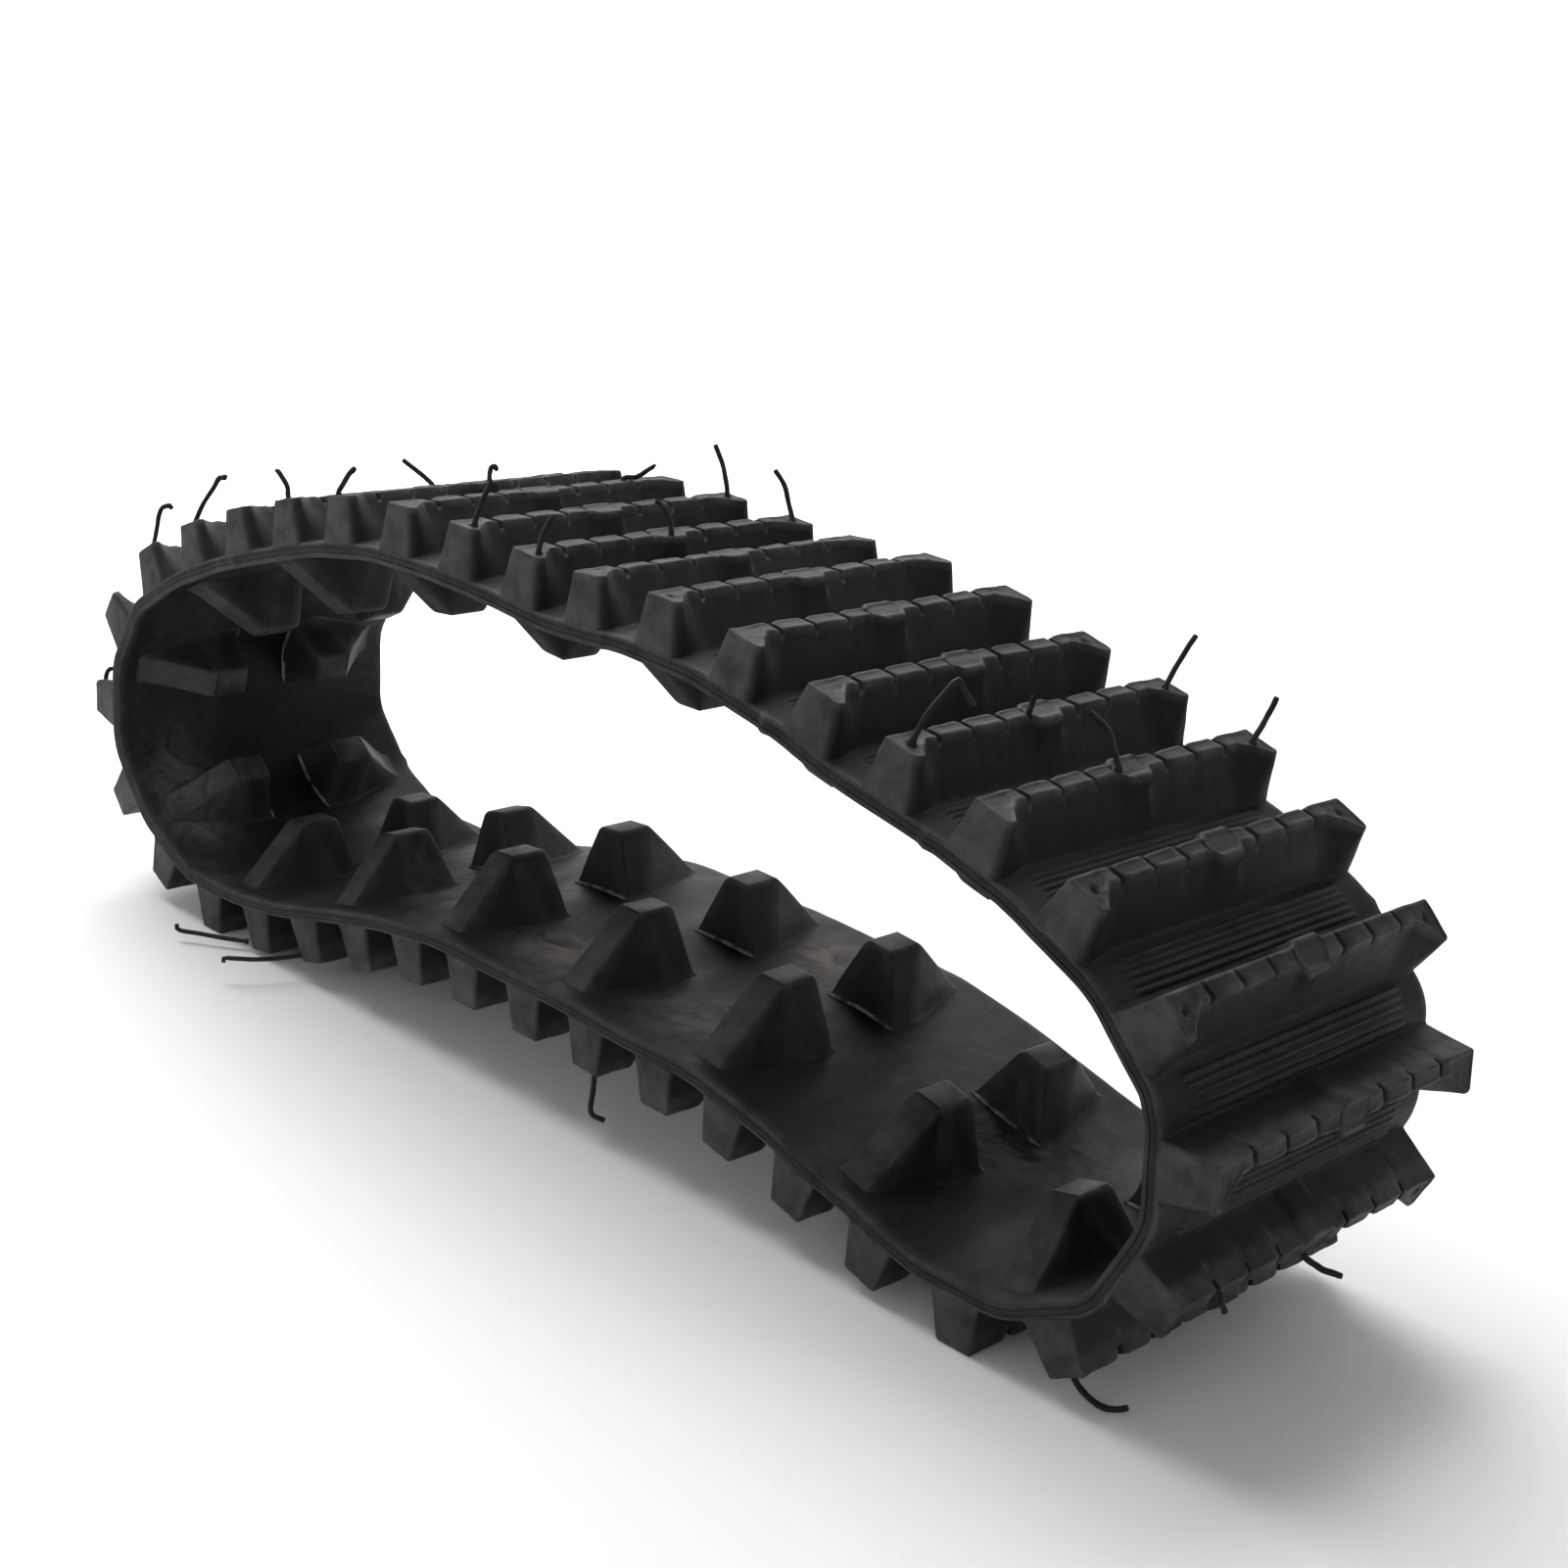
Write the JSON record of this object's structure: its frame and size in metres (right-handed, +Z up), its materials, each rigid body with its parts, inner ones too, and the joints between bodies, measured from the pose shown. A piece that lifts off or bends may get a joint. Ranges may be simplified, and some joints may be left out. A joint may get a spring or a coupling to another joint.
{
  "type": "rubber track",
  "caption": "Endless rubber crawler track lying as a relaxed teardrop loop, with full-width tread bars outside and two rows of wedge drive lugs inside.",
  "frame": {"origin": "centre of the ground face of the front foot bar of the lower run", "axes": "+X along the loop towards the tight nose, +Y across the belt to its far edge, +Z up"},
  "size_m": [1.0241, 0.2808, 0.3787],
  "materials": {
    "tread_rubber": "satin moulded black rubber with dusty faces",
    "inner_rubber": "satin black rubber with pale dust",
    "lug_rubber": "satin moulded black rubber",
    "cord_steel": "brass-coated steel cord",
    "rod_fibreglass": "pultruded fibreglass rod",
    "hair_rubber": "thin black rubber spew"
  },
  "bodies": {
    "lower_run": {"lower_run_outer_cover": "tread_rubber", "lower_run_inner_cover": "inner_rubber", "lower_run_tension_cords": "cord_steel", "lower_run_cross_rods": "rod_fibreglass", "lower_run_tread_bars": "tread_rubber", "lower_run_drive_lugs": "lug_rubber", "lower_run_vent_hairs": "hair_rubber"},
    "rear_lower": {"rear_lower_outer_cover": "tread_rubber", "rear_lower_inner_cover": "inner_rubber", "rear_lower_tension_cords": "cord_steel", "rear_lower_cross_rods": "rod_fibreglass", "rear_lower_tread_bars": "tread_rubber", "rear_lower_drive_lugs": "lug_rubber"},
    "rear_upper": {"rear_upper_outer_cover": "tread_rubber", "rear_upper_inner_cover": "inner_rubber", "rear_upper_tension_cords": "cord_steel", "rear_upper_cross_rods": "rod_fibreglass", "rear_upper_tread_bars": "tread_rubber", "rear_upper_drive_lugs": "lug_rubber", "rear_upper_vent_hairs": "hair_rubber"},
    "crown_rear": {"crown_rear_outer_cover": "tread_rubber", "crown_rear_inner_cover": "inner_rubber", "crown_rear_tension_cords": "cord_steel", "crown_rear_cross_rods": "rod_fibreglass", "crown_rear_tread_bars": "tread_rubber", "crown_rear_drive_lugs": "lug_rubber", "crown_rear_vent_hairs": "hair_rubber"},
    "crown_front": {"crown_front_outer_cover": "tread_rubber", "crown_front_inner_cover": "inner_rubber", "crown_front_tension_cords": "cord_steel", "crown_front_cross_rods": "rod_fibreglass", "crown_front_tread_bars": "tread_rubber", "crown_front_drive_lugs": "lug_rubber", "crown_front_vent_hairs": "hair_rubber"},
    "top_run": {"top_run_outer_cover": "tread_rubber", "top_run_inner_cover": "inner_rubber", "top_run_tension_cords": "cord_steel", "top_run_cross_rods": "rod_fibreglass", "top_run_tread_bars": "tread_rubber", "top_run_drive_lugs": "lug_rubber"},
    "front_slope": {"front_slope_outer_cover": "tread_rubber", "front_slope_inner_cover": "inner_rubber", "front_slope_tension_cords": "cord_steel", "front_slope_cross_rods": "rod_fibreglass", "front_slope_tread_bars": "tread_rubber", "front_slope_drive_lugs": "lug_rubber", "front_slope_vent_hairs": "hair_rubber"},
    "nose_upper": {"nose_upper_outer_cover": "tread_rubber", "nose_upper_inner_cover": "inner_rubber", "nose_upper_tension_cords": "cord_steel", "nose_upper_cross_rods": "rod_fibreglass", "nose_upper_tread_bars": "tread_rubber", "nose_upper_drive_lugs": "lug_rubber"},
    "nose_lower": {"nose_lower_outer_cover": "tread_rubber", "nose_lower_inner_cover": "inner_rubber", "nose_lower_tension_cords": "cord_steel", "nose_lower_cross_rods": "rod_fibreglass", "nose_lower_tread_bars": "tread_rubber", "nose_lower_drive_lugs": "lug_rubber", "nose_lower_vent_hairs": "hair_rubber"}
  },
  "joints": [
    {"name": "rear_heel_flex", "type": "hinge", "parent": "lower_run", "child": "rear_lower", "pos_m": [-0.74023, 0, 0.03489], "axis": [0, -1, 0], "range_deg": [-12, 15], "stiffness_Nm_per_rad": 400, "springref_deg": -0.86},
    {"name": "rear_loop_flex", "type": "hinge", "parent": "rear_lower", "child": "rear_upper", "pos_m": [-0.83397, 0, 0.10553], "axis": [0, -1, 0], "range_deg": [-10.93, 8.75]},
    {"name": "rear_crown_flex", "type": "hinge", "parent": "rear_upper", "child": "crown_rear", "pos_m": [-0.80322, 0, 0.2164], "axis": [0, -1, 0], "range_deg": [-3.8, 3.05]},
    {"name": "crown_flex", "type": "hinge", "parent": "crown_rear", "child": "crown_front", "pos_m": [-0.5803, 0, 0.30195], "axis": [0, -1, 0], "range_deg": [-0.58, 0.47]},
    {"name": "nose_heel_flex", "type": "hinge", "parent": "lower_run", "child": "nose_lower", "pos_m": [0.08346, 0, 0.06224], "axis": [0, -1, 0], "range_deg": [-3.82, 4.76]},
    {"name": "nose_flex", "type": "hinge", "parent": "nose_lower", "child": "nose_upper", "pos_m": [0.10652, 0, 0.17552], "axis": [0, -1, 0], "range_deg": [-8.15, 10.17]},
    {"name": "slope_flex", "type": "hinge", "parent": "nose_upper", "child": "front_slope", "pos_m": [0.01091, 0, 0.24498], "axis": [0, -1, 0], "range_deg": [-15.23, 12.2]},
    {"name": "top_run_flex", "type": "hinge", "parent": "front_slope", "child": "top_run", "pos_m": [-0.10515, 0, 0.275], "axis": [0, -1, 0], "range_deg": [-0.213, 0.254]}
  ],
  "couplings": [
    {"joint": "rear_loop_flex", "follows": "rear_heel_flex", "ratio": -0.725},
    {"joint": "rear_crown_flex", "follows": "rear_heel_flex", "ratio": -0.2501},
    {"joint": "crown_flex", "follows": "rear_heel_flex", "ratio": -0.0351},
    {"joint": "nose_heel_flex", "follows": "rear_heel_flex", "ratio": 0.3138},
    {"joint": "nose_flex", "follows": "rear_heel_flex", "ratio": 0.6747},
    {"joint": "slope_flex", "follows": "rear_heel_flex", "ratio": -1.0122},
    {"joint": "top_run_flex", "follows": "rear_heel_flex", "ratio": 0.0136}
  ]
}
